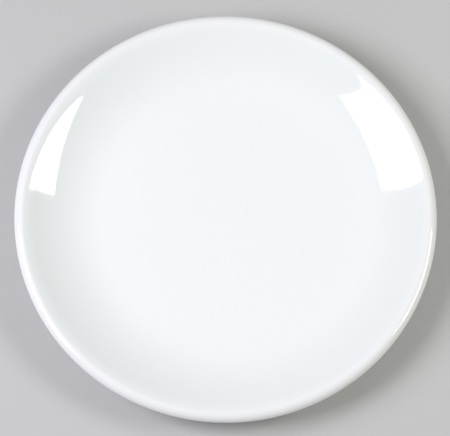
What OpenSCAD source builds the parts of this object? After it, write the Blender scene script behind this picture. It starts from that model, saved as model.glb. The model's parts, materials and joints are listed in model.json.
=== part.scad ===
// Round coupe salad plate: one fired clay body under two coats of white glaze.
// The plate stands on its bare foot ring at Z = 0, with the Z axis through its centre.

/* [Plate] */
// Finished diameter over the lip of the rim
plate_d = 203; // [190:1:240]
// Diameter of the flat floor of the well
well_d = 119; // [110:1:124]
// Thickness of the clay in the well and the wall
clay_t = 4.4; // [3.8:0.1:5.5]

/* [Wall and rim] */
// Radius of the bend from the floor of the well into the wall
bend_r = 51; // [42:1:58]
// Slope at which the bend runs into the wall, in degrees from level
bend_tilt = 15.5; // [13:0.5:17]
// Steepest slope of the wall, in degrees from level
wall_tilt = 30.5; // [27:0.5:36]
// Width of the rim, from the steepest part of the wall to the outer edge
rim_w = 8.8; // [8:0.1:12]
// Slope at which the flare of the rim runs into its rounded crest, in degrees
crest_tilt = 20.5; // [16:0.5:24]
// Radius of the crest on its inner side
crest_in_r = 2; // [1.5:0.1:3]
// Radius of the crest on its outer side
crest_out_r = 3.6; // [3:0.1:4.4]
// Radius of the hollow under the lip
undercut_r = 8; // [4:0.5:14]

/* [Foot ring] */
// Outer diameter of the foot ring
foot_d = 114; // [90:1:124]
// Width of the foot ring
foot_w = 4.6; // [3.6:0.1:8]
// Height of the foot ring below the back of the well
foot_h = 3; // [2.5:0.1:6]
// Rounding of the foot ring's two lower edges
foot_edge_r = 0.9; // [0.3:0.1:1.2]
// Fillets where the foot ring meets the back of the plate
foot_fillet_r = 1.4; // [0.8:0.1:3]

/* [Glaze] */
// Thickness of the glaze
glaze_t = 0.3; // [0.15:0.05:0.5]
// Height of the line above the bearing face, below which the glaze is wiped off
bare_h = 1.1; // [0.8:0.05:1.4]

/* [Colours] */
// Colour of the glaze
glaze_colour = "#f2f5f5"; // color
// Colour of the fired clay
clay_colour = "#e6dfd3"; // color

/* [Hidden] */

// Facets of the turned shape, and the longest step along a drawn arc in degrees and in millimetres
$fn = 180;
arc_step_deg = 6;
arc_step_len = 1.5;

// Radii from the axis and heights from the bearing face, all in the clay
edge_r = plate_d / 2 - glaze_t;
steep_r = edge_r - rim_w;
floor_r = well_d / 2;
foot_out_r = foot_d / 2;
foot_in_r = foot_out_r - foot_w;
back_z = foot_h;
floor_z = back_z + clay_t;

// A bend leads from the floor into the wall. The two faces of each share one centre,
// so the clay is as thick there as in the well.
bend_c = [floor_r, floor_z + bend_r];
under_bend_r = bend_r + clay_t;
wall_r = (steep_r - floor_r - bend_r * sin(bend_tilt)) / (sin(wall_tilt) - sin(bend_tilt));
wall_c = bend_c + (bend_r - wall_r) * polar(bend_tilt - 90);
under_wall_r = wall_r + clay_t;

// The flare turns the wall outwards, the crest rounds it over, and a tighter lip turns it under.
// The lip takes over where the crest falls by lip_turn degrees, and leaves the rim as thick as the wall.
lip_turn = 70;
lip_r = (clay_t - crest_out_r * (1 - cos(lip_turn))) / (1 + cos(lip_turn));
crest_span = crest_in_r * sin(crest_tilt) + crest_out_r * sin(lip_turn) + lip_r * (1 - sin(lip_turn));
flare_r = (rim_w - crest_span) / (sin(wall_tilt) - sin(crest_tilt));
flare_c = wall_c + (wall_r + flare_r) * polar(wall_tilt - 90);
crest_in_c = flare_c + (flare_r - crest_in_r) * polar(crest_tilt + 90);
crest_out_c = crest_in_c + (crest_in_r - crest_out_r) * polar(90);
lip_c = crest_out_c + (crest_out_r - lip_r) * polar(90 - lip_turn);

// The undercut touches the lip and the underside of the wall
undercut_c = outer_meeting(wall_c, under_wall_r + undercut_r, lip_c, lip_r + undercut_r);

// The roundings of the foot stop short of the glaze line, which lies on its straight sides
side_min = 0.1;
edge_round = min(foot_edge_r, bare_h - side_min);
fillet = min(foot_fillet_r, foot_h - bare_h - side_min);

// The outer fillet touches the side of the foot and the level back of the well,
// or the underside of the bend on a foot that is wider than the well's floor
fillet_out_x = foot_out_r + fillet;
fillet_reach = max(0, fillet_out_x - floor_r);
fillet_out_c = [fillet_out_x, bend_c.y - sqrt((under_bend_r + fillet) ^ 2 - fillet_reach ^ 2)];
fillet_in_c = [foot_in_r - fillet, back_z - fillet];

// A direction from its angle, and the angle of the way from one point to another
function polar(a) = [cos(a), sin(a)];
function heading(from, to) = atan2(to.y - from.y, to.x - from.x);

// Points along an arc. A joined arc leaves out its first point, which the arc before it has drawn.
function arc(c, r, from, to, joined = true) =
    let (arc_len = abs(to - from) * PI / 180 * r,
         steps = max(2, ceil(abs(to - from) / arc_step_deg), ceil(arc_len / arc_step_len)))
    [for (i = [joined ? 1 : 0 : steps]) c + r * polar(from + (to - from) * i / steps)];

// Crossing of two circles, on the right of the way from the first centre to the second
function outer_meeting(c1, r1, c2, r2) =
    let (d = norm(c2 - c1),
         along = (d ^ 2 + r1 ^ 2 - r2 ^ 2) / (2 * d),
         across = sqrt(r1 ^ 2 - along ^ 2),
         u = (c2 - c1) / d)
    c1 + along * u + across * [u.y, -u.x];

function reversed(points) = [for (i = [len(points) - 1 : -1 : 0]) points[i]];

// Outline of the face from the axis, over the rim and down to the glaze line outside the foot.
// Grown by g, it is the surface of a coat of that thickness.
function face_line(g) =
    let (to_undercut = heading(lip_c, undercut_c),
         to_wall = heading(undercut_c, wall_c),
         off_back = fillet_reach > 0 ? heading(fillet_out_c, bend_c) : 90)
    concat([[0, floor_z + g]],
           arc(bend_c, bend_r - g, -90, bend_tilt - 90, joined = false),
           arc(wall_c, wall_r - g, bend_tilt - 90, wall_tilt - 90),
           arc(flare_c, flare_r + g, wall_tilt + 90, crest_tilt + 90),
           arc(crest_in_c, crest_in_r + g, crest_tilt + 90, 90),
           arc(crest_out_c, crest_out_r + g, 90, 90 - lip_turn),
           arc(lip_c, lip_r + g, 90 - lip_turn, to_undercut),
           arc(undercut_c, undercut_r - g, to_undercut + 180, to_wall),
           arc(wall_c, under_wall_r + g, to_wall - 180, bend_tilt - 90),
           arc(bend_c, under_bend_r + g, bend_tilt - 90, off_back - 180),
           arc(fillet_out_c, fillet - g, off_back, 180, joined = fillet_out_x >= floor_r),
           [[foot_out_r + g, bare_h]]);

// The bare foot, between the glaze lines outside and inside it
function foot_line() =
    concat(arc([foot_out_r - edge_round, edge_round], edge_round, 0, -90, joined = false),
           arc([foot_in_r + edge_round, edge_round], edge_round, -90, -180, joined = false));

// The back of the well, from the glaze line inside the foot to the axis, grown in the same way
function back_line(g) =
    concat([[foot_in_r - g, bare_h]],
           arc(fillet_in_c, fillet - g, 0, 90, joined = false),
           [[0, back_z - g]]);

module turned(outline) {
    rotate_extrude() polygon(outline);
}

// Fired clay: well, wall, rim and foot ring in one piece
module clay_body() {
    color(clay_colour) turned(concat(face_line(0), foot_line(), back_line(0)));
}

// Glaze over the face, round the rim and down the underside to the foot
module face_glaze() {
    color(glaze_colour) turned(concat(face_line(glaze_t), reversed(face_line(0))));
}

// Glaze on the back of the well, inside the foot ring
module back_glaze() {
    color(glaze_colour) turned(concat(back_line(0), reversed(back_line(glaze_t))));
}

clay_body();
face_glaze();
back_glaze();
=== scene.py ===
"""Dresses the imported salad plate: glazed face, glazed back and bare clay body, on a plain studio stage."""

import json
import math

import bpy
from bpy.props import FloatProperty, FloatVectorProperty, IntProperty, PointerProperty
from bpy.types import Operator, Panel, PropertyGroup
from mathutils import Matrix, Vector


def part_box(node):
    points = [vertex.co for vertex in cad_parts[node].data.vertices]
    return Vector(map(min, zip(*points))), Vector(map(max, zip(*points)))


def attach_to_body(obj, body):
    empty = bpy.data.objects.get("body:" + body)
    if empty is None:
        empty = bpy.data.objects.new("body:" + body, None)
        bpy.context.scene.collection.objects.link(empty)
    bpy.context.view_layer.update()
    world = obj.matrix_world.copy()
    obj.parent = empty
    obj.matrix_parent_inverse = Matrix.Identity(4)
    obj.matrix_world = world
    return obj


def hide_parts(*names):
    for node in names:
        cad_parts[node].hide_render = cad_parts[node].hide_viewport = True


bl_info = {
    "name": "Salad Plate",
    "version": (1, 0, 0),
    "blender": (4, 5, 0),
    "location": "View3D > Sidebar > Salad Plate",
    "description": "Turns a glazed coupe salad plate over its packed solids and sets a stage for it",
    "category": "Object",
}

MM = 0.001

# Watts from each square metre of a lamp's face for one unit of its level
POWER_PER_LEVEL = 4

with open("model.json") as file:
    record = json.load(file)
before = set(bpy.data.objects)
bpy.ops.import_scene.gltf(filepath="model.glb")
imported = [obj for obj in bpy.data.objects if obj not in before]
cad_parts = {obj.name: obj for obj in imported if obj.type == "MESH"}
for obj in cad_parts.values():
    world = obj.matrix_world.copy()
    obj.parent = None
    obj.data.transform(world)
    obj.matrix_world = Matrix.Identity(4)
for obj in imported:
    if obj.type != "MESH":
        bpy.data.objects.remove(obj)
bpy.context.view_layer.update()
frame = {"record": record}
glaze_low, glaze_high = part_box("face_glaze")


# Properties

def length(name, description, default):
    return FloatProperty(
        name=name, description=description, default=default, min=0.0, precision=5, unit="LENGTH"
    )


def angle(name, description, degrees):
    return FloatProperty(name=name, description=description, default=math.radians(degrees), subtype="ANGLE")


def factor(name, description, default):
    return FloatProperty(
        name=name, description=description, default=default, min=0.0, max=1.0, subtype="FACTOR"
    )


def colour(name, description, default):
    return FloatVectorProperty(
        name=name, description=description, default=default, min=0.0, max=1.0, size=3, subtype="COLOR"
    )


def rectangle(name, description, default):
    return FloatVectorProperty(
        name=name, description=description, default=default, min=0.0, size=2, unit="LENGTH"
    )


def strength(name, description, default):
    return FloatProperty(name=name, description=description, default=default, min=0.0)


class PlateSizes(PropertyGroup):
    """Sizes of the plate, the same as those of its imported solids"""

    diameter: length("Diameter", "Finished diameter over the lip of the rim", glaze_high.x - glaze_low.x)
    well_diameter: length("Well", "Diameter of the flat floor of the well", 119 * MM)
    clay_thickness: length("Clay", "Thickness of the clay in the well and the wall", 4.4 * MM)
    bend_radius: length("Bend", "Radius of the bend from the floor of the well into the wall", 51 * MM)
    bend_tilt: angle("Bend Tilt", "Slope at which the bend runs into the wall, from level", 15.5)
    wall_tilt: angle("Wall Tilt", "Steepest slope of the wall, from level", 30.5)
    rim_width: length("Rim Width", "From the steepest part of the wall to the outer edge", 8.8 * MM)
    crest_tilt: angle("Crest Tilt", "Slope at which the flare of the rim runs into its rounded crest", 20.5)
    crest_inner_radius: length("Crest Inside", "Radius of the crest on its inner side", 2 * MM)
    crest_outer_radius: length("Crest Outside", "Radius of the crest on its outer side", 3.6 * MM)
    lip_turn: angle("Lip Turn", "Fall of the crest at which the tighter lip takes over", 70)
    undercut_radius: length("Undercut", "Radius of the hollow under the lip", 8 * MM)
    foot_diameter: length("Foot", "Outer diameter of the foot ring", 114 * MM)
    foot_width: length("Foot Width", "Width of the foot ring", 4.6 * MM)
    foot_height: length("Foot Height", "Height of the foot ring below the back of the well", 3 * MM)
    foot_rounding: length("Foot Rounding", "Radius of the foot ring's two lower edges", 0.9 * MM)
    foot_fillet: length("Foot Fillet", "Radius where the foot ring meets the back of the plate", 1.4 * MM)
    glaze_thickness: length("Glaze", "Thickness of the glaze", 0.3 * MM)
    bare_height: length("Bare Height", "Height of the line below which the glaze is wiped off", 1.1 * MM)
    segments: IntProperty(name="Segments", description="Facets in one turn of the plate", default=288, min=24)


class PlateFinish(PropertyGroup):
    """Colours and gloss of the glaze and the bare clay"""

    glaze: colour("Glaze", "Cool white of the glaze in the well", (0.855, 0.885, 0.902))
    # Painted shade: a greyer white laid over the wall, darker than the glaze in the well
    painted_wall_shade: colour(
        "Painted Wall Shade", "Greyer white painted on the wall as shade", (0.819, 0.848, 0.857)
    )
    thin_glaze: colour(
        "Thin Glaze", "Neutral white where the glaze runs thin over the rim", (0.853, 0.856, 0.874)
    )
    pooled_glaze: colour(
        "Pooled Glaze", "Deeper tint where the glaze gathers against the foot", (0.78, 0.835, 0.85)
    )
    glaze_roughness: factor("Glaze Roughness", "Roughness of the glossy glaze", 0.055)
    clay: colour("Clay", "Bare fired clay", (0.80, 0.74, 0.655))
    worn_clay: colour(
        "Worn Clay", "Clay that has been rubbed grey by what the plate stands on", (0.56, 0.52, 0.47)
    )
    clay_roughness: factor("Clay Roughness", "Roughness of the bare clay", 0.8)


class PlateStage(PropertyGroup):
    """Floor, light and camera"""

    floor: colour("Floor", "Colour of the floor and the backdrop", (0.55, 0.55, 0.555))
    fade_start: length(
        "Fade Start", "From the plate's axis to where the floor starts to fade into the backdrop", 0.15
    )
    fade_end: length("Fade End", "From the plate's axis to where only the backdrop is seen", 0.6)
    surround: colour("Surround", "Colour of the even light from all round", (1.0, 1.0, 1.0))
    surround_strength: strength("Surround Strength", "Level of the even light from all round", 0.28)
    key_azimuth: angle("Key Azimuth", "Way to the key lamp, from the right anticlockwise", 187.33)
    key_elevation: angle("Key Elevation", "Way to the key lamp, from level", 50.76)
    key_distance: length("Key Distance", "From the floor of the well to the key lamp", 0.8)
    key_roll: angle("Key Roll", "Turn of the key lamp about its own axis", 3.0)
    key_swing: angle("Key Swing", "Turn of the key lamp to one side of the plate", -8.16)
    key_lean: angle("Key Lean", "Lean of the top of the key lamp towards the plate", -36.66)
    key_size: rectangle("Key Size", "Width and height of the key lamp", (0.3857, 0.5347))
    key_level: strength("Key Level", "Brightness of the key lamp's face", 7.43)
    key_tint: colour("Key Tint", "Colour of the key lamp's light", (0.947, 0.943, 1.0))
    fill_azimuth: angle("Fill Azimuth", "Way to the fill lamp, from the right anticlockwise", 1.28)
    fill_elevation: angle("Fill Elevation", "Way to the fill lamp, from level", 41.56)
    fill_distance: length("Fill Distance", "From the floor of the well to the fill lamp", 0.935)
    fill_roll: angle("Fill Roll", "Turn of the fill lamp about its own axis", 7.43)
    fill_swing: angle("Fill Swing", "Turn of the fill lamp to one side of the plate", -17.5)
    fill_lean: angle("Fill Lean", "Lean of the top of the fill lamp towards the plate", 25.7)
    fill_size: rectangle("Fill Size", "Width and height of the fill lamp", (0.4265, 0.316))
    fill_level: strength("Fill Level", "Brightness of the fill lamp's face", 7.33)
    fill_tint: colour("Fill Tint", "Colour of the fill lamp's light", (0.985, 0.998, 0.88))
    camera_elevation: angle("Camera Elevation", "Way to the camera, from level", 74.13)
    camera_distance: length("Camera Distance", "From the middle of the rim to the camera", 1.3)
    camera_roll: angle("Camera Roll", "Turn of the camera about its own axis", 1.6)
    camera_lens: FloatProperty(name="Lens", description="Focal length", default=216.95, unit="CAMERA")
    camera_aim: FloatVectorProperty(
        name="Aim",
        description="Point that the camera looks at, from the middle of the rim",
        default=(-0.26 * MM, -2.3 * MM, 0.0),
        subtype="XYZ",
        unit="LENGTH",
    )


# Node trees written as expressions

class Signal:
    """One output socket of a node tree. Arithmetic on signals adds the Math nodes that work it out."""

    def __init__(self, tree, socket=None):
        self.tree = tree
        self.socket = socket

    def node(self, kind, settings=None, inputs=None, output=0):
        """Adds a node with its settings and its sockets' values or links, and returns one output."""
        added = self.tree.nodes.new(kind)
        for name, value in (settings or {}).items():
            setattr(added, name, value)
        for key, value in (inputs or {}).items():
            if isinstance(value, Signal):
                self.tree.links.new(value.socket, added.inputs[key])
            else:
                added.inputs[key].default_value = value
        return Signal(self.tree, added.outputs[output] if added.outputs else None)

    def math(self, operation, *values):
        return self.node("ShaderNodeMath", {"operation": operation}, dict(enumerate(values)))

    def __add__(self, other):
        return self.math("ADD", self, other)

    def __radd__(self, other):
        return self.math("ADD", other, self)

    def __sub__(self, other):
        return self.math("SUBTRACT", self, other)

    def __rsub__(self, other):
        return self.math("SUBTRACT", other, self)

    def __mul__(self, other):
        return self.math("MULTIPLY", self, other)

    def __rmul__(self, other):
        return self.math("MULTIPLY", other, self)

    def __truediv__(self, other):
        return self.math("DIVIDE", self, other)

    def __mod__(self, other):
        return self.math("MODULO", self, other)

    def ramp(self, low, high):
        """Smooth step from 0 where this signal is low to 1 where it is high."""
        settings = {"interpolation_type": "SMOOTHSTEP"}
        return self.node("ShaderNodeMapRange", settings, {"Value": self, "From Min": low, "From Max": high})

    def blend(self, first, second):
        """Colour that goes from the first to the second as this signal goes from 0 to 1."""
        return self.node("ShaderNodeMix", {"data_type": "RGBA"}, {0: self, 6: first, 7: second}, output=2)


def opaque(rgb):
    return (*rgb, 1.0)


# Outline of the plate

class Spacing:
    """Longest step between the points of an outline, as an angle along an arc and as a length"""

    def __init__(self, degrees, step):
        self.turn = math.radians(degrees)
        self.step = step

    def steps(self, turn, distance):
        return max(2, math.ceil(abs(turn) / self.turn), math.ceil(distance / self.step))


SEEN = Spacing(4, 1.2 * MM)
COVERED = Spacing(12, 4 * MM)


def polar(direction):
    return Vector((math.cos(direction), math.sin(direction)))


def heading(start, end):
    way = end - start
    return math.atan2(way.y, way.x)


def arc(centre, radius, start, end, spacing):
    turn = end - start
    steps = spacing.steps(turn, abs(turn) * radius)
    return [centre + radius * polar(start + turn * i / steps) for i in range(steps + 1)]


def line(start, end, spacing):
    steps = spacing.steps(0.0, (end - start).length)
    return [start.lerp(end, i / steps) for i in range(steps + 1)]


def outer_meeting(first, first_radius, second, second_radius):
    """Crossing of two circles, on the right of the way from the first centre to the second"""
    way = second - first
    gap = way.length
    along = (gap ** 2 + first_radius ** 2 - second_radius ** 2) / (2 * gap)
    across = math.sqrt(first_radius ** 2 - along ** 2)
    unit = way / gap
    return first + along * unit + across * Vector((unit.y, -unit.x))


class PlateSection:
    """Half of the plate's section, as lines of points (radius, height) that go clockwise round the clay"""

    LEVEL = 0.0
    UP = math.pi / 2

    def __init__(self, sizes):
        self.sizes = sizes
        self.glaze = sizes.glaze_thickness
        self.back_z = sizes.foot_height
        self.floor_z = self.back_z + sizes.clay_thickness
        self.floor_r = sizes.well_diameter / 2
        self.foot_out_r = sizes.foot_diameter / 2
        self.foot_in_r = self.foot_out_r - sizes.foot_width
        self.place_rim()
        self.place_foot()

    def place_rim(self):
        """Works out the arcs of the bend, the wall, its flare, the crest, the lip and the undercut."""
        sizes = self.sizes
        bend_sine = math.sin(sizes.bend_tilt)
        wall_sine = math.sin(sizes.wall_tilt)
        crest_sine = math.sin(sizes.crest_tilt)
        lip_sine = math.sin(sizes.lip_turn)
        lip_cosine = math.cos(sizes.lip_turn)
        edge_r = sizes.diameter / 2 - self.glaze
        inner_r = sizes.crest_inner_radius
        outer_r = sizes.crest_outer_radius

        self.bend_r = sizes.bend_radius
        self.bend_c = Vector((self.floor_r, self.floor_z + self.bend_r))
        self.under_bend_r = self.bend_r + sizes.clay_thickness
        steep_r = edge_r - sizes.rim_width
        self.wall_r = (steep_r - self.floor_r - self.bend_r * bend_sine) / (wall_sine - bend_sine)
        self.wall_c = self.bend_c + (self.bend_r - self.wall_r) * polar(sizes.bend_tilt - self.UP)
        self.under_wall_r = self.wall_r + sizes.clay_thickness

        self.lip_r = (sizes.clay_thickness - outer_r * (1 - lip_cosine)) / (1 + lip_cosine)
        crest_span = inner_r * crest_sine + outer_r * lip_sine + self.lip_r * (1 - lip_sine)
        self.flare_r = (sizes.rim_width - crest_span) / (wall_sine - crest_sine)
        self.flare_c = self.wall_c + (self.wall_r + self.flare_r) * polar(sizes.wall_tilt - self.UP)
        self.crest_in_c = self.flare_c + (self.flare_r - inner_r) * polar(sizes.crest_tilt + self.UP)
        self.crest_out_c = self.crest_in_c + (inner_r - outer_r) * polar(self.UP)
        self.lip_c = self.crest_out_c + (outer_r - self.lip_r) * polar(self.UP - sizes.lip_turn)

        undercut_r = sizes.undercut_radius
        self.undercut_c = outer_meeting(
            self.wall_c, self.under_wall_r + undercut_r, self.lip_c, self.lip_r + undercut_r
        )

    def place_foot(self):
        """Works out the fillets between the foot ring and the back of the plate."""
        fillet = self.sizes.foot_fillet
        outer_x = self.foot_out_r + fillet
        self.fillet_reach = max(0.0, outer_x - self.floor_r)
        drop = math.sqrt((self.under_bend_r + fillet) ** 2 - self.fillet_reach ** 2)
        self.fillet_out_c = Vector((outer_x, self.bend_c.y - drop))
        self.fillet_in_c = Vector((self.foot_in_r - fillet, self.back_z - fillet))

    def face(self, coat, end_z, spacing):
        """Axis, well, wall, rim, underside and the outer side of the foot down to end_z, grown by a coat"""
        sizes = self.sizes
        up = self.UP
        to_undercut = heading(self.lip_c, self.undercut_c)
        to_wall = heading(self.undercut_c, self.wall_c)
        off_back = heading(self.fillet_out_c, self.bend_c) if self.fillet_reach > 0 else up
        floor = (Vector((0.0, self.floor_z + coat)), Vector((self.floor_r, self.floor_z + coat)))
        side_r = self.foot_out_r + coat
        foot_side = (Vector((side_r, self.fillet_out_c.y)), Vector((side_r, end_z)))
        return [
            *line(*floor, spacing),
            *arc(self.bend_c, self.bend_r - coat, -up, sizes.bend_tilt - up, spacing),
            *arc(self.wall_c, self.wall_r - coat, sizes.bend_tilt - up, sizes.wall_tilt - up, spacing),
            *arc(self.flare_c, self.flare_r + coat, sizes.wall_tilt + up, sizes.crest_tilt + up, spacing),
            *arc(self.crest_in_c, sizes.crest_inner_radius + coat, sizes.crest_tilt + up, up, spacing),
            *arc(self.crest_out_c, sizes.crest_outer_radius + coat, up, up - sizes.lip_turn, spacing),
            *arc(self.lip_c, self.lip_r + coat, up - sizes.lip_turn, to_undercut, spacing),
            *arc(self.undercut_c, sizes.undercut_radius - coat, to_undercut + math.pi, to_wall, spacing),
            *arc(self.wall_c, self.under_wall_r + coat, to_wall - math.pi, sizes.bend_tilt - up, spacing),
            *arc(self.bend_c, self.under_bend_r + coat, sizes.bend_tilt - up, off_back - math.pi, spacing),
            *arc(self.fillet_out_c, sizes.foot_fillet - coat, off_back, math.pi, spacing),
            *line(*foot_side, spacing),
        ]

    def foot(self, top_z, spacing):
        """Bare foot ring, from top_z on its outer side to top_z on its inner side"""
        r = self.sizes.foot_rounding
        return [
            Vector((self.foot_out_r, top_z)),
            *arc(Vector((self.foot_out_r - r, r)), r, self.LEVEL, -self.UP, spacing),
            *arc(Vector((self.foot_in_r + r, r)), r, -self.UP, -math.pi, spacing),
            Vector((self.foot_in_r, top_z)),
        ]

    def back(self, coat, start_z, spacing):
        """Inner side of the foot from start_z, and the back of the well to the axis, grown by a coat"""
        side_r = self.foot_in_r - coat
        foot_side = (Vector((side_r, start_z)), Vector((side_r, self.fillet_in_c.y)))
        level = (Vector((self.fillet_in_c.x, self.back_z - coat)), Vector((0.0, self.back_z - coat)))
        return [
            *line(*foot_side, spacing),
            *arc(self.fillet_in_c, self.sizes.foot_fillet - coat, self.LEVEL, self.UP, spacing),
            *line(*level, spacing),
        ]

    def glaze_end(self, side_r, start, end):
        """Rounded end of a coat on the side of the foot"""
        r = self.glaze / 2
        return arc(Vector((side_r, self.end_z())), r, start, end, Spacing(30, MM))

    def end_z(self):
        """Height at which the rounded end of a coat begins"""
        return self.sizes.bare_height + self.glaze / 2

    def face_coat(self):
        """Closed outline of the glaze on the face, the rim and the underside"""
        end_z = self.end_z()
        return [
            *self.face(self.glaze, end_z, SEEN),
            *self.glaze_end(self.foot_out_r + self.glaze / 2, self.LEVEL, -math.pi),
            *reversed(self.face(0.0, end_z, COVERED)),
        ]

    def back_coat(self):
        """Closed outline of the glaze on the back of the well"""
        end_z = self.end_z()
        return [
            *reversed(self.back(0.0, end_z, COVERED)),
            *self.glaze_end(self.foot_in_r - self.glaze / 2, self.LEVEL, -math.pi),
            *self.back(self.glaze, end_z, SEEN),
        ]

    def clay(self):
        """Closed outline of the clay body, with its foot bare below the coats"""
        end_z = self.end_z()
        return [
            *self.face(0.0, end_z, COVERED),
            *self.foot(end_z, SEEN),
            *self.back(0.0, end_z, COVERED),
        ]


# Turning on the wheel

def turning_tree():
    """Geometry nodes that turn an outline in the XZ plane about the Z axis, as one closed surface."""
    tree = bpy.data.node_groups.new("Turning", "GeometryNodeTree")
    face = tree.interface
    face.new_socket("Outline", in_out="INPUT", socket_type="NodeSocketGeometry")
    face.new_socket("Segments", in_out="INPUT", socket_type="NodeSocketInt")
    face.new_socket("Weld", in_out="INPUT", socket_type="NodeSocketFloat")
    face.new_socket("Finish", in_out="INPUT", socket_type="NodeSocketMaterial")
    face.new_socket("Piece", in_out="OUTPUT", socket_type="NodeSocketGeometry")

    start = Signal(tree)
    given = tree.nodes.new("NodeGroupInput")
    outline, segments, weld, finish = (Signal(tree, socket) for socket in given.outputs[:4])

    rings = start.node("GeometryNodeAttributeDomainSize", {"component": "MESH"}, {"Geometry": outline})
    meridians = segments + 1
    sheet = start.node("GeometryNodeMeshGrid", None, {"Vertices X": rings, "Vertices Y": meridians})

    index = start.node("GeometryNodeInputIndex")
    ring = start.math("FLOOR", index / meridians)
    turn = (index % meridians) * math.tau / segments
    place = start.node("GeometryNodeInputPosition")
    sampled = start.node(
        "GeometryNodeSampleIndex",
        {"data_type": "FLOAT_VECTOR", "domain": "POINT"},
        {"Geometry": outline, "Value": place, "Index": ring},
    )
    turned = start.node(
        "ShaderNodeVectorRotate", {"rotation_type": "Z_AXIS"}, {"Vector": sampled, "Angle": turn}
    )

    wrapped = start.node("GeometryNodeSetPosition", None, {"Geometry": sheet, "Position": turned})
    closed = start.node("GeometryNodeMergeByDistance", None, {"Geometry": wrapped, "Distance": weld})
    smooth = start.node("GeometryNodeSetShadeSmooth", None, {"Geometry": closed})
    real = start.node("GeometryNodeRealizeInstances", None, {"Geometry": smooth})
    painted = start.node("GeometryNodeSetMaterial", None, {"Geometry": real, "Material": finish})
    start.node("NodeGroupOutput", None, {"Piece": painted})
    return tree


def set_inputs(modifier, values):
    """Sets a modifier's inputs by name, through their sockets' identifiers."""
    for item in modifier.node_group.interface.items_tree:
        if item.name in values:
            modifier[item.identifier] = values[item.name]


def turned_piece(context, name, outline, finish):
    """Turns an outline into a plain closed mesh."""
    base = bpy.data.meshes.new(name + "_outline")
    base.from_pydata(
        [(point.x, 0.0, point.y) for point in outline],
        [(i, i + 1) for i in range(len(outline) - 1)],
        [],
    )
    piece = bpy.data.objects.new(name, base)
    context.scene.collection.objects.link(piece)

    turning = piece.modifiers.new("Turning", "NODES")
    turning.node_group = bpy.data.node_groups.get("Turning") or turning_tree()
    weld = 0.002 * MM
    set_inputs(turning, {"Segments": context.scene.plate_sizes.segments, "Weld": weld, "Finish": finish})

    evaluated = piece.evaluated_get(context.evaluated_depsgraph_get())
    mesh = bpy.data.meshes.new_from_object(evaluated)
    mesh.name = name
    piece.modifiers.remove(turning)
    piece.data = mesh
    bpy.data.meshes.remove(base)
    return piece


def stand_for(piece, node):
    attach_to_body(piece, "root")
    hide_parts(node)


# Finishes

def new_material(name):
    """An empty material, its Principled shader's node and a start for its expressions"""
    material = bpy.data.materials.new(name)
    material.use_nodes = True
    tree = material.node_tree
    return material, tree.nodes["Principled BSDF"], Signal(tree)


def attach(start, shader, **signals):
    """Feeds the shader's sockets of these names, with spaces for underscores."""
    for name, signal in signals.items():
        start.tree.links.new(signal.socket, shader.inputs[name.replace("_", " ")])


def noise(start, place, size, detail=2.0):
    """Noise from 0 to 1 whose features are about the given size"""
    return start.node("ShaderNodeTexNoise", None, {"Vector": place, "Scale": 1 / size, "Detail": detail})


def polar_place(start):
    """Object coordinates, and the distance from the axis and the height of a point"""
    place = start.node("ShaderNodeTexCoord", output="Object")
    parts = start.node("ShaderNodeSeparateXYZ", None, {"Vector": place})
    x, y, z = (Signal(start.tree, socket) for socket in parts.socket.node.outputs)
    radius = start.math("SQRT", x * x + y * y)
    return place, radius, z


def bump(start, height):
    """Normal of a surface that is raised by a height in metres"""
    return start.node("ShaderNodeBump", None, {"Height": height, "Strength": 1.0, "Distance": 1.0})


def glossy_glaze(context):
    """Glossy white glaze: greyer on the wall as painted shade, neutral over the rim, deeper where it pools
    against the foot
    """
    if "glossy_glaze" in bpy.data.materials:
        return bpy.data.materials["glossy_glaze"]
    sizes = context.scene.plate_sizes
    finish = context.scene.plate_finish
    material, shader, start = new_material("glossy_glaze")
    place, radius, z = polar_place(start)

    drift = noise(start, place, 70 * MM)
    mottle = noise(start, place, 7 * MM, detail=4.0)
    well_r = sizes.well_diameter / 2
    # Mask of the painted shade, from just past the floor of the well up the wall
    slope = radius.ramp(well_r + 6 * MM, well_r + 28 * MM)
    rim_r = sizes.diameter / 2
    thin = (radius + (drift - 0.5) * 3 * MM).ramp(rim_r - 8 * MM, rim_r - 3 * MM)
    foot_r = (sizes.foot_diameter - sizes.foot_width) / 2
    from_foot = start.math("ABSOLUTE", radius - foot_r) - sizes.foot_width / 2
    low = 1 - z.ramp(sizes.foot_height, sizes.foot_height + 1.5 * MM)
    pooled = (1 - from_foot.ramp(0.3 * MM, 3 * MM)) * low

    # Painted shade: the glaze turns to the greyer wall colour over the wall
    painted_shade_glaze = slope.blend(opaque(finish.glaze), opaque(finish.painted_wall_shade))
    body = thin.blend(painted_shade_glaze, opaque(finish.thin_glaze))
    tinted = (pooled * 0.7).blend(body, opaque(finish.pooled_glaze))
    shade = 0.985 + 0.02 * drift + 0.01 * mottle
    grey = start.node("ShaderNodeCombineColor", None, {"Red": shade, "Green": shade, "Blue": shade})
    white = start.node(
        "ShaderNodeMix",
        {"data_type": "RGBA", "blend_type": "MULTIPLY"},
        {0: 1.0, 6: tinted, 7: grey},
        output=2,
    )

    ripple = noise(start, place, 28 * MM)
    peel = noise(start, place, 1.6 * MM)
    height = ripple * 6e-6 + peel * 2.5e-7
    roughness = finish.glaze_roughness * (0.8 + 0.4 * mottle)
    attach(start, shader, Base_Color=white, Roughness=roughness, Normal=bump(start, height))
    return material


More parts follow.
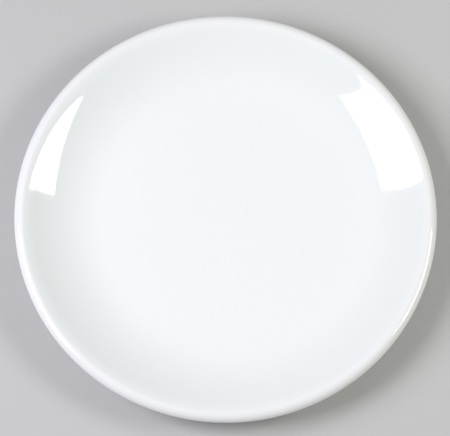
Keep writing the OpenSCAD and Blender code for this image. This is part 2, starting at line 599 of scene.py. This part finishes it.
def fired_clay(context):
    """Matt fired clay with fine grain, rubbed grey where the plate stands"""
    finish = context.scene.plate_finish
    material, shader, start = new_material("fired_clay")
    place, _, z = polar_place(start)

    patches = noise(start, place, 16 * MM)
    grain = noise(start, place, 0.5 * MM, detail=4.0)
    rubbed = (1 - z.ramp(0.02 * MM, 0.35 * MM)) * patches.ramp(0.3, 0.7) * (0.4 + 0.6 * grain)
    speckled = (0.25 * grain.ramp(0.5, 0.75) + 0.12 * patches).blend(
        opaque(finish.clay), opaque([0.72 * part for part in finish.clay])
    )
    shown = (rubbed * 0.7).blend(speckled, opaque(finish.worn_clay))
    roughness = finish.clay_roughness - 0.2 * rubbed + 0.08 * grain
    attach(start, shader, Base_Color=shown, Roughness=roughness, Normal=bump(start, grain * 2e-5))
    return material


def in_sight(start):
    """1 for what the camera, a reflection or a clear surface shows, and 0 for light on the plate"""
    path = start.node("ShaderNodeLightPath").socket.node.outputs
    camera, mirrored, passing = (
        Signal(start.tree, path[f"Is {kind} Ray"]) for kind in ("Camera", "Glossy", "Transmission")
    )
    return start.math("MAXIMUM", camera, start.math("MAXIMUM", mirrored, passing))


def floor_paint(stage):
    """Matt, faintly uneven paint, which fades into a backdrop of its colour away from the plate"""
    material, shader, start = new_material("floor_paint")
    place, radius, _ = polar_place(start)
    cloud = noise(start, place, 0.4)
    colour_low = [0.99 * part for part in stage.floor]
    attach(start, shader, Base_Color=cloud.blend(opaque(colour_low), opaque(stage.floor)))
    shader.inputs["Roughness"].default_value = 0.9
    shader.inputs["Specular IOR Level"].default_value = 0.2

    paint = Signal(start.tree, shader.outputs["BSDF"])
    backdrop = start.node("ShaderNodeEmission", None, {"Color": opaque(stage.floor), "Strength": 1.0})
    far = radius.ramp(stage.fade_start, stage.fade_end) * in_sight(start)
    shown = start.node("ShaderNodeMixShader", None, {0: far, 1: paint, 2: backdrop})
    attach(start, start.tree.nodes["Material Output"], Surface=shown)
    material.cycles.emission_sampling = "NONE"
    return material


# Stage

def make_floor(context, stage):
    """Level floor under the plate"""
    reach = 4.0
    corners = [(-reach, -reach, 0.0), (reach, -reach, 0.0), (reach, reach, 0.0), (-reach, reach, 0.0)]
    mesh = bpy.data.meshes.new("floor")
    mesh.from_pydata(corners, [], [(0, 1, 2, 3)])
    mesh.materials.append(floor_paint(stage))
    floor = bpy.data.objects.new("floor", mesh)
    context.scene.collection.objects.link(floor)


def light_surround(context, stage):
    """Even light from all round, in front of a backdrop of the floor's colour"""
    world = bpy.data.worlds.new("surround")
    world.use_nodes = True
    start = Signal(world.node_tree)
    light = [stage.surround_strength * part for part in stage.surround]
    shown = in_sight(start).blend(opaque(light), opaque(stage.floor))
    attach(start, world.node_tree.nodes["Background"], Color=shown)
    context.scene.world = world


def axes_matrix(right, up, back, place):
    turn = Matrix((right, up, back)).transposed()
    return Matrix.Translation(place) @ turn.to_4x4()


def rolled(first, second, roll):
    """Two square axes, turned from the first towards the second"""
    return (
        math.cos(roll) * first + math.sin(roll) * second,
        math.cos(roll) * second - math.sin(roll) * first,
    )


def hang_lamp(context, stage, name):
    """Soft rectangular lamp, turned away a little from the floor of the well"""
    azimuth, elevation, distance, roll, swing, lean, size, level, tint = (
        getattr(stage, f"{name}_{part}")
        for part in ("azimuth", "elevation", "distance", "roll", "swing", "lean", "size", "level", "tint")
    )
    target = Vector((0.0, 0.0, well_floor_z()))
    upwards = Vector((0.0, 0.0, 1.0))
    outwards = Vector((math.cos(azimuth), math.sin(azimuth), 0.0))
    way = math.cos(elevation) * outwards + math.sin(elevation) * upwards
    level_axis = upwards.cross(outwards)
    right, up = rolled(level_axis, way.cross(level_axis), roll)
    right, front = rolled(right, -way, swing)
    up, front = rolled(up, front, lean)

    lamp = bpy.data.lights.new(name + "_lamp", "AREA")
    lamp.shape = "RECTANGLE"
    lamp.size = size[0]
    lamp.size_y = size[1]
    lamp.color = tint
    lamp.energy = level * size[0] * size[1] * POWER_PER_LEVEL
    holder = bpy.data.objects.new(name + "_lamp", lamp)
    holder.matrix_world = axes_matrix(right, up, -front, target + distance * way)
    context.scene.collection.objects.link(holder)


def aim_camera(context, stage):
    """Camera at the viewing angle of the picture, a little rolled"""
    middle = Vector((0.0, 0.0, glaze_high.z))
    way = Vector((0.0, -math.cos(stage.camera_elevation), math.sin(stage.camera_elevation)))
    place = middle + stage.camera_distance * way
    back = (place - middle - Vector(stage.camera_aim)).normalized()
    level_axis = Vector((0.0, 0.0, 1.0)).cross(back).normalized()
    right, up = rolled(level_axis, back.cross(level_axis), stage.camera_roll)

    camera = bpy.data.cameras.new("camera")
    camera.lens = stage.camera_lens
    camera.sensor_fit = "HORIZONTAL"
    camera.sensor_width = 36.0
    holder = bpy.data.objects.new("camera", camera)
    holder.matrix_world = axes_matrix(right, up, back, place)
    context.scene.collection.objects.link(holder)
    context.scene.camera = holder


def well_floor_z():
    """Height of the finished floor of the well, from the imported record"""
    mounts = {mount["name"]: mount for mount in frame["record"]["mounts"]}
    return mounts["well_floor"]["pos_m"][2]


# Operators

class PLATE_OT_clay_body(Operator):
    """Turn the clay body with its bare foot ring"""

    bl_idname = "plate.clay_body"
    bl_label = "Clay Body"

    def execute(self, context):
        outline = PlateSection(context.scene.plate_sizes).clay()
        piece = turned_piece(context, "plate_body", outline, fired_clay(context))
        stand_for(piece, "clay_body")
        return {"FINISHED"}


class PLATE_OT_face_glaze(Operator):
    """Turn the coat of glaze on the face, the rim and the underside"""

    bl_idname = "plate.face_glaze"
    bl_label = "Face Glaze"

    def execute(self, context):
        outline = PlateSection(context.scene.plate_sizes).face_coat()
        piece = turned_piece(context, "glazed_face", outline, glossy_glaze(context))
        stand_for(piece, "face_glaze")
        return {"FINISHED"}


class PLATE_OT_back_glaze(Operator):
    """Turn the coat of glaze on the back of the well, inside the foot ring"""

    bl_idname = "plate.back_glaze"
    bl_label = "Back Glaze"

    def execute(self, context):
        outline = PlateSection(context.scene.plate_sizes).back_coat()
        piece = turned_piece(context, "glazed_back", outline, glossy_glaze(context))
        stand_for(piece, "back_glaze")
        return {"FINISHED"}


class PLATE_OT_stage(Operator):
    """Set the floor, the lamps and the camera"""

    bl_idname = "plate.stage"
    bl_label = "Stage"

    def execute(self, context):
        stage = context.scene.plate_stage
        make_floor(context, stage)
        light_surround(context, stage)
        hang_lamp(context, stage, "key")
        hang_lamp(context, stage, "fill")
        aim_camera(context, stage)
        context.scene.view_settings.view_transform = "Standard"
        return {"FINISHED"}


class PLATE_PT_sidebar(Panel):
    """Lists the plate's operators and settings"""

    bl_idname = "PLATE_PT_sidebar"
    bl_label = "Salad Plate"
    bl_space_type = "VIEW_3D"
    bl_region_type = "UI"
    bl_category = "Salad Plate"

    def draw(self, context):
        for operator in OPERATORS:
            self.layout.operator(operator.bl_idname)
        for group in (context.scene.plate_sizes, context.scene.plate_finish, context.scene.plate_stage):
            box = self.layout.box()
            for name in group.__annotations__:
                box.prop(group, name)


OPERATORS = (PLATE_OT_clay_body, PLATE_OT_face_glaze, PLATE_OT_back_glaze, PLATE_OT_stage)
GROUPS = {"plate_sizes": PlateSizes, "plate_finish": PlateFinish, "plate_stage": PlateStage}
CLASSES = (*GROUPS.values(), *OPERATORS, PLATE_PT_sidebar)


def register():
    for cls in CLASSES:
        bpy.utils.register_class(cls)
    for name, group in GROUPS.items():
        setattr(bpy.types.Scene, name, PointerProperty(type=group))


def unregister():
    for name in GROUPS:
        delattr(bpy.types.Scene, name)
    for cls in reversed(CLASSES):
        bpy.utils.unregister_class(cls)


def main():
    register()
    bpy.ops.plate.clay_body()
    bpy.ops.plate.face_glaze()
    bpy.ops.plate.back_glaze()
    bpy.ops.plate.stage()


if __name__ == "__main__":
    main()
